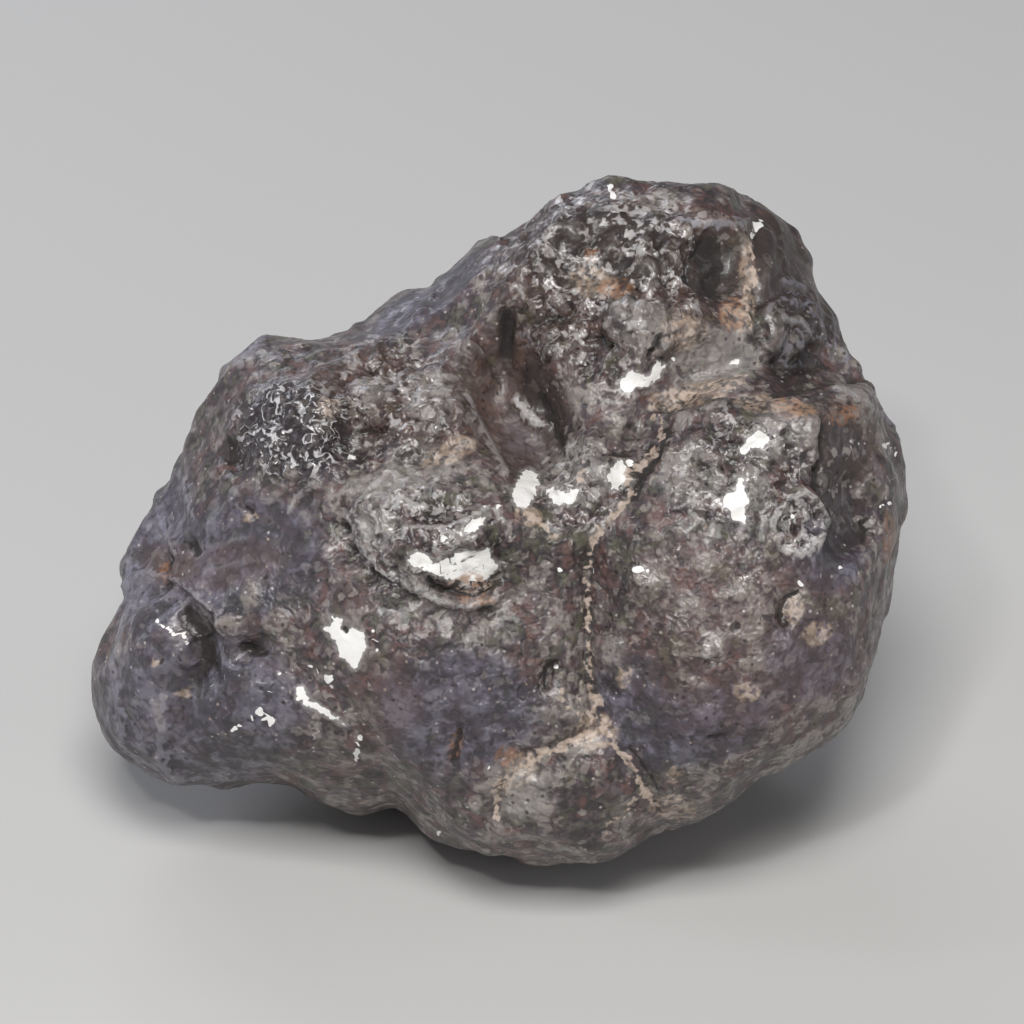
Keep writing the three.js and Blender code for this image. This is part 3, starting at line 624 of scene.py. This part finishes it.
class Nodes:
    """Short calls that add nodes to a material. A value is a number, a colour or another node's output."""

    def __init__(self, material):
        material.use_nodes = True
        self.tree = material.node_tree
        self.tree.nodes.clear()

    def add(self, kind, inputs, **settings):
        node = self.tree.nodes.new(kind)
        for name, value in settings.items():
            setattr(node, name, value)
        for key, value in inputs.items():
            if isinstance(value, bpy.types.NodeSocket):
                self.tree.links.new(value, node.inputs[key])
            else:
                node.inputs[key].default_value = value
        return node

    def math(self, operation, a, b=0.0):
        return self.add("ShaderNodeMath", {0: a, 1: b}, operation=operation).outputs[0]

    def ramp(self, value, low, high, start=0.0, end=1.0):
        """A soft change from start to end as the value goes from low to high."""
        inputs = {"Value": value, "From Min": low, "From Max": high, "To Min": start, "To Max": end}
        return self.add("ShaderNodeMapRange", inputs, interpolation_type="SMOOTHSTEP").outputs[0]

    def mix(self, share, a, b):
        return self.add("ShaderNodeMix", {0: share, 6: a, 7: b}, data_type="RGBA").outputs[2]

    def noise(self, place, size, detail, roughness=0.55):
        inputs = {"Vector": place, "Scale": 1 / size, "Detail": detail, "Roughness": roughness}
        return self.add("ShaderNodeTexNoise", inputs).outputs["Fac"]

    def cells(self, place, size):
        """Scattered cells: the distance to each one's middle, a random colour and the middle itself."""
        return self.add("ShaderNodeTexVoronoi", {"Vector": place, "Scale": 1 / size}).outputs

    def random(self, cells, channel=0):
        """A random number for each cell, from 0 to 1."""
        return self.add("ShaderNodeSeparateColor", {0: cells["Color"]}).outputs[channel]

    def vector(self, operation, a, b, output=0):
        return self.add("ShaderNodeVectorMath", {0: a, 1: b}, operation=operation).outputs[output]

    def scaled(self, value, middle, times):
        """How far a value is from a middle, made larger or smaller."""
        return self.math("MULTIPLY", self.math("SUBTRACT", value, middle), times)

    def total(self, *values):
        """The sum of several values."""
        so_far = values[0]
        for value in values[1:]:
            so_far = self.math("ADD", so_far, value)
        return so_far

    def times(self, a, b):
        return self.math("MULTIPLY", a, b)

    def wobble(self, place, size, amount):
        """A vector that changes smoothly from place to place, up to about amount long."""
        inputs = {"Vector": place, "Scale": 1 / size, "Detail": 0.0}
        colour = self.add("ShaderNodeTexNoise", inputs).outputs["Color"]
        centred = self.vector("SUBTRACT", colour, (0.5, 0.5, 0.5))
        return self.vector("MULTIPLY", centred, (4 * amount, 4 * amount, 4 * amount))


class Rock(Nodes):
    """A material with the patterns and masks that the rock's finishes share, in millimetres."""

    def __init__(self, material):
        super().__init__(material)
        metres = self.add("ShaderNodeTexCoord", {}).outputs["Object"]
        millimetres = self.add("ShaderNodeVectorMath", {0: metres, "Scale": 1 / MM}, operation="SCALE")
        self.place = millimetres.outputs[0]
        self.smeared = self.vector("ADD", self.place, self.wobble(self.place, 1.2, 0.26))
        self.edge_wobble = self.vector("MULTIPLY", self.wobble(self.place, 0.9, 0.16), (1, 1, 0))
        self.masks = {name: self.attribute(name, "Fac") for name in [*PLACES, "white", "hollow", "inner"]}
        self.tone = self.noise(self.smeared, 2.2, 2.0, 0.68)
        self.fine = self.noise(self.place, 0.8, 1.0, 0.6)
        self.grains = self.cells(self.smeared, 1.3)
        self.points = self.cells(self.place, 0.8)

    def attribute(self, name, output):
        return self.add("ShaderNodeAttribute", {}, attribute_name=name).outputs[output]

    def inside(self, name):
        """How far inside the nearest line a point is, in millimetres, from the line's attribute."""
        way = self.attribute(name, "Vector")
        half = self.add("ShaderNodeSeparateXYZ", {0: way}).outputs[2]
        flat = self.vector("ADD", self.vector("MULTIPLY", way, (1, 1, 0)), self.edge_wobble)
        return self.math("SUBTRACT", half, self.vector("LENGTH", flat, (0, 0, 0), "Value"))

    def ragged(self, value, amount):
        """A value made uneven by the fine noise, so that the edges drawn from it are ragged."""
        return self.total(value, self.scaled(self.fine, 0.5, amount))

    def by_mask(self, name, outside, within):
        """A value that changes from one amount outside a mask to another within it."""
        return self.ramp(self.masks[name], 0.0, 1.0, outside, within)


def rock_colour(rock):
    """Mottled grey-brown with mauve, reddish and greenish tints and pale smears."""
    masks = rock.masks
    level = rock.total(
        rock.tone, rock.scaled(rock.noise(rock.place, 9.0, 1.0), 0.5, 0.5), rock.times(masks["pale"], 0.07),
        rock.times(masks["dark"], -0.12), rock.times(masks["satin"], -0.02),
        rock.ramp(masks["inner"], 0.0, 0.4, -0.03, 0.0))
    colour = rock.mix(rock.ramp(level, 0.37, 0.53), BODY_DARK, BODY)
    hue = rock.noise(rock.smeared, 2.6, 2.0, 0.65)
    colour = rock.mix(rock.ramp(hue, 0.49, 0.66, 0.0, 0.75), colour, REDDISH)
    colour = rock.mix(rock.ramp(hue, 0.5, 0.34, 0.0, 0.6), colour, GREENISH)
    colour = rock.mix(rock.ramp(level, 0.52, 0.66, 0.0, 0.9), colour, BODY_PALE)
    slate = rock.mix(rock.ramp(level, 0.4, 0.62), MAUVE_DARK, MAUVE)
    # The dark places mix in darker rock and painted shade
    for name, share, tint in (("mauve", 0.75, slate), ("brown", 0.55, BROWN), ("reddish", 0.25, REDDISH),
                              ("pale", 0.42, PALE_GREY), ("dark", 0.75, DARK_ROCK_AND_SHADE)):
        colour = rock.mix(rock.times(masks[name], share), colour, tint)
    return colour


def rock_grains(rock, colour):
    """Grains of their own tone with dark gaps between them, fainter on smooth places and behind the rim."""
    masks, random, distance = rock.masks, rock.random(rock.grains), rock.grains["Distance"]
    calm = rock.math("MAXIMUM", masks["satin"], rock.times(masks["mauve"], 0.8))
    calm = rock.math("MAXIMUM", calm, rock.ramp(masks["inner"], 0.0, 0.4, 0.75, 0.0))
    core = rock.ramp(rock.ragged(distance, 2.2), 0.6, 0.25)
    shown = rock.times(rock.ramp(calm, 0.0, 1.0, 1.0, 0.35), core)
    colour = rock.mix(rock.times(rock.ramp(random, 0.5, 1.0, 0.0, 0.65), shown), colour, BODY_PALE)
    colour = rock.mix(rock.times(rock.ramp(random, 0.5, 0.0, 0.0, 0.8), shown), colour, BODY_DARK)
    gap = rock.times(rock.ramp(distance, 0.48, 0.72), rock.ramp(random, 0.2, 0.8, 0.0, 0.45))
    return rock.mix(gap, colour, SPECK_AND_SHADE_BROWN)


def clast_tint(rock, colour):
    """The rounded clasts are paler than the rock around them."""
    share = rock.times(rock.masks["clast"], rock.ramp(rock.fine, 0.38, 0.6, 0.15, 0.75))
    return rock.mix(share, colour, BODY_PALE)


def ridge_lines(rock, colour):
    """Pale broken lines along the ridges, partly pale mineral and partly a painted highlight, with a painted
    bluish sheen near the rim.
    """
    line = rock.ramp(rock.ragged(rock.inside("ridge"), 1.4), -0.2, 0.15)
    share = rock.times(line, rock.by_mask("crystalline", 0.4, 0.85))
    return rock.mix(share, colour, rock.mix(rock.masks["inner"], RIM_SHEEN_LINE, PALE_LINE_AND_HIGHLIGHT))


def dark_specks(rock, colour):
    dot = rock.ramp(rock.points["Distance"], 0.4, 0.15)
    share = rock.times(dot, rock.ramp(rock.random(rock.points), 0.24, 0.16, 0.0, 0.8))
    return rock.mix(share, colour, SPECK_AND_SHADE_BROWN)


def curled_lines(rock):
    """Painted highlights on the curled rims of burst bubbles: how much of one there is."""
    curl = rock.math("ABSOLUTE", rock.scaled(rock.noise(rock.smeared, 1.5, 0.0), 0.5, 1.0))
    broken = rock.ramp(rock.fine, 0.4, 0.52)
    return rock.times(rock.times(rock.ramp(curl, 0.1, 0.03), broken), rock.masks["bubbly"])


def glints(rock):
    """Small pale crystal grains with painted glints, bigger ones on the broken places: how much of one there
    is, and its colour.
    """
    crystalline = rock.masks["crystalline"]
    often = rock.ramp(rock.tone, 0.42, 0.62, 0.08, 0.26)
    chosen = rock.ramp(rock.total(rock.random(rock.points), often), 0.98, 1.02)
    small = rock.times(rock.ramp(rock.points["Distance"], 0.3, 0.1), rock.times(chosen, 0.75))
    tint = rock.mix(rock.random(rock.points, 1), TAN, GLINT)
    chosen = rock.ramp(rock.total(rock.random(rock.grains), rock.times(crystalline, 0.14)), 1.0, 1.12)
    core = rock.ramp(rock.ragged(rock.grains["Distance"], 2.0), 0.6, 0.3)
    single = rock.times(core, rock.times(chosen, 0.7))
    clustered = rock.ramp(rock.ragged(rock.tone, 0.5), 0.55, 0.67, 0.0, 0.7)
    large = rock.math("MAXIMUM", single, rock.times(clustered, crystalline))
    return rock.math("MAXIMUM", small, large), rock.mix(large, tint, GLINT)


def hollow_shade_and_pale_bumps(rock, colour):
    """Painted shade and dust darken the hollows, and the bumps are paler."""
    hollow = rock.ragged(rock.masks["hollow"], 0.05)
    colour = rock.mix(rock.ramp(hollow, 0.02, 0.13, 0.0, 0.75), colour, SPECK_AND_SHADE_BROWN)
    return rock.mix(rock.ramp(hollow, -0.04, -0.14, 0.0, 0.3), colour, BODY_PALE)


def white_glass_and_highlights(rock, colour):
    """White patches with a pale edge, and beads, partly white glassy mineral and partly painted highlights
    and glints. The colour, and how much of it is white.
    """
    depth = rock.ragged(rock.masks["white"], 0.9)
    white = rock.math("MAXIMUM", rock.ramp(depth, -0.03, 0.05), rock.ramp(rock.inside("bead_and_glint"), -0.03, 0.04))
    colour = rock.mix(rock.ramp(depth, -0.5, 0.0, 0.0, 0.45), colour, PALE_LINE_AND_HIGHLIGHT)
    return rock.mix(white, colour, WHITE), white


def tan_and_rust(rock, colour):
    """Thin tan dust and rust spots. The colour, and how much of it is tan."""
    tan = rock.times(rock.ramp(rock.masks["tan"], 0.0, 0.6), rock.ramp(rock.fine, 0.36, 0.6, 0.05, 0.75))
    colour = rock.mix(tan, colour, rock.mix(rock.ramp(rock.tone, 0.45, 0.58), TAN, CRUST_CREAM))
    rust = rock.times(rock.ramp(rock.masks["rusty"], 0.0, 0.6), rock.ramp(rock.fine, 0.36, 0.6, 0.05, 0.5))
    return rock.mix(rust, colour, RUST), tan


def seam_crust(rock):
    """The tan crust along the seams: how much of it there is."""
    uneven = rock.total(rock.scaled(rock.fine, 0.53, 2.0), rock.scaled(rock.tone, 0.52, 1.2))
    edge = rock.total(rock.inside("crust"), uneven)
    return rock.ramp(edge, -0.1, 0.14)


def roughness(rock, bright, tan, slot):
    """Dull on tan and in slots, glossier on broken crystalline places, glints, bubbles and glassy lumps."""
    masks = rock.masks
    rough = rock.total(
        rock.ramp(rock.tone, 0.42, 0.6, 0.58, 0.44), rock.times(masks["crystalline"], -0.14),
        rock.times(masks["bubbly"], -0.2), rock.times(tan, 0.2), rock.times(bright, -0.1),
        rock.times(masks["glossy"], -0.12), rock.times(masks["dark"], 0.08), rock.times(slot, 0.3),
        rock.times(masks["satin"], 0.06))
    return rock.math("MAXIMUM", rough, 0.14)


def facets(rock):
    """Flat facets, one to a grain, each with a slope of its own: a height in millimetres."""
    offset = rock.vector("SUBTRACT", rock.smeared, rock.grains["Position"])
    slope = rock.vector("SUBTRACT", rock.grains["Color"], (0.5, 0.5, 0.5))
    return rock.vector("DOT_PRODUCT", offset, slope, "Value")


def fine_bumps(rock, white, curls):
    """Relief too fine for the mesh, calmer on satin, dark and white places and near the rim."""
    calm = rock.times(rock.by_mask("satin", 1.0, 0.5), rock.ramp(white, 0.0, 1.0, 1.0, 0.25))
    calm = rock.times(calm, rock.by_mask("inner", 0.45, 1.0))
    calm = rock.times(calm, rock.by_mask("dark", 1.0, 0.5))
    sharp = rock.times(rock.times(facets(rock), rock.by_mask("crystalline", 0.12, 0.8)),
                       rock.by_mask("bubbly", 1.0, 0.2))
    grain = rock.total(rock.scaled(rock.tone, 0.5, 0.6), rock.scaled(rock.fine, 0.5, 0.25), sharp)
    height = rock.total(rock.times(grain, calm), rock.times(curls, 0.3))
    return rock.add("ShaderNodeBump", {"Height": height, "Strength": 1.0, "Distance": MM}).outputs[0]


def breccia():
    """Dark grey-brown rock with a mauve cast, tan crust in its seams, and white patches that are partly
    glassy and partly painted highlights.
    """
    material = bpy.data.materials.new("breccia")
    rock = Rock(material)
    colour = rock_grains(rock, rock_colour(rock))
    colour = dark_specks(rock, ridge_lines(rock, clast_tint(rock, colour)))
    curls = curled_lines(rock)
    crystals_and_glints, crystal_and_glint_colour = glints(rock)
    bright = rock.math("MAXIMUM", crystals_and_glints, curls)
    colour = rock.mix(bright, colour, rock.mix(curls, crystal_and_glint_colour, GLINT))
    colour, white = white_glass_and_highlights(rock, hollow_shade_and_pale_bumps(rock, colour))
    colour, tan = tan_and_rust(rock, colour)
    # Slots are darkened: dark cracks, and painted shade in the grooves and hollows
    slot = rock.ramp(rock.inside("slot"), -0.12, 0.1)
    colour = rock.mix(rock.times(slot, 0.9), colour, SPECK_AND_SHADE_BROWN)
    crust = seam_crust(rock)
    crust_colour = rock.mix(rock.ramp(rock.fine, 0.4, 0.62), TAN, CRUST_CREAM)
    colour = rock.mix(rock.times(crust, 0.8), colour, crust_colour)
    shader = rock.add("ShaderNodeBsdfPrincipled", {
        "Base Color": colour, "Roughness": roughness(rock, bright, rock.math("MAXIMUM", tan, crust), slot),
        "Normal": fine_bumps(rock, white, curls), "Specular IOR Level": 0.7, "Coat Weight": 0.2,
        "Coat Roughness": 0.14,
    })
    rock.add("ShaderNodeOutputMaterial", {"Surface": shader.outputs[0]})
    return material


def floor_finish():
    material = bpy.data.materials.new("floor_finish")
    nodes = Nodes(material)
    place = nodes.add("ShaderNodeTexCoord", {}).outputs["Object"]
    tone = nodes.noise(place, 0.5, 1.0)
    colour = nodes.mix(tone, srgb(196, 195, 194), srgb(201, 200, 198))
    shader = nodes.add("ShaderNodeBsdfPrincipled", {"Base Color": colour, "Roughness": 0.7})
    nodes.add("ShaderNodeOutputMaterial", {"Surface": shader.outputs[0]})
    return material


def floor():
    half = FLOOR_HALF
    corners = [(-half, -half, 0), (half, -half, 0), (half, half, 0), (-half, half, 0)]
    mesh = bpy.data.meshes.new("floor")
    mesh.from_pydata(corners, [], [(0, 1, 2, 3)])
    plane = bpy.data.objects.new("floor", mesh)
    plane.data.materials.append(floor_finish())
    bpy.context.scene.collection.objects.link(plane)


def aimed(thing, place, target):
    """Puts a camera or a lamp in the scene, at a place and turned to a target."""
    thing.location = place
    thing.rotation_mode = "QUATERNION"
    thing.rotation_quaternion = (target - place).to_track_quat("-Z", "Y")
    bpy.context.scene.collection.objects.link(thing)


def camera():
    lens = bpy.data.cameras.new("camera")
    lens.sensor_width = SENSOR_WIDTH
    lens.lens = SENSOR_WIDTH * VIEW_DISTANCE / FRAME_WIDTH
    lens.clip_start = 0.01
    viewer = bpy.data.objects.new("camera", lens)
    aimed(viewer, world_point(0, 0, VIEW_DISTANCE), world_point(0, 0, 0))
    bpy.context.scene.camera = viewer


def softbox(name, place, size, watts, colour):
    lamp = bpy.data.lights.new(name, "AREA")
    lamp.shape = "RECTANGLE"
    lamp.size, lamp.size_y = size
    lamp.energy = watts
    lamp.color = colour
    aimed(bpy.data.objects.new(name, lamp), Vector(place), LIT_POINT)


def lights():
    softbox("top_box", (0.0, -0.38, 0.74), (0.32, 0.26), 5.0, (1.0, 0.99, 0.97))
    softbox("back_strip", (-0.3, 0.6, 0.35), (0.5, 0.15), 1.5, (0.86, 0.9, 1.0))
    softbox("left_strip", (-0.65, 0.0, 0.2), (0.08, 0.45), 0.9, (0.86, 0.9, 1.0))
    softbox("right_strip", (0.65, 0.1, 0.2), (0.12, 0.45), 0.5, (0.88, 0.91, 1.0))
    softbox("front_fill", (0.45, -0.6, 0.35), (0.3, 0.3), 0.3, (1.0, 0.97, 0.94))
    softbox("small_lamp", (-0.16, -0.42, 0.62), (0.05, 0.05), 0.8, (1.0, 1.0, 1.0))
    world = bpy.data.worlds.new("studio")
    world.use_nodes = True
    background = world.node_tree.nodes["Background"]
    background.inputs["Color"].default_value = (0.9, 0.92, 0.95, 1)
    background.inputs["Strength"].default_value = 0.12
    bpy.context.scene.world = world
    bpy.context.scene.view_settings.view_transform = "Standard"


camera()
stone()
floor()
lights()
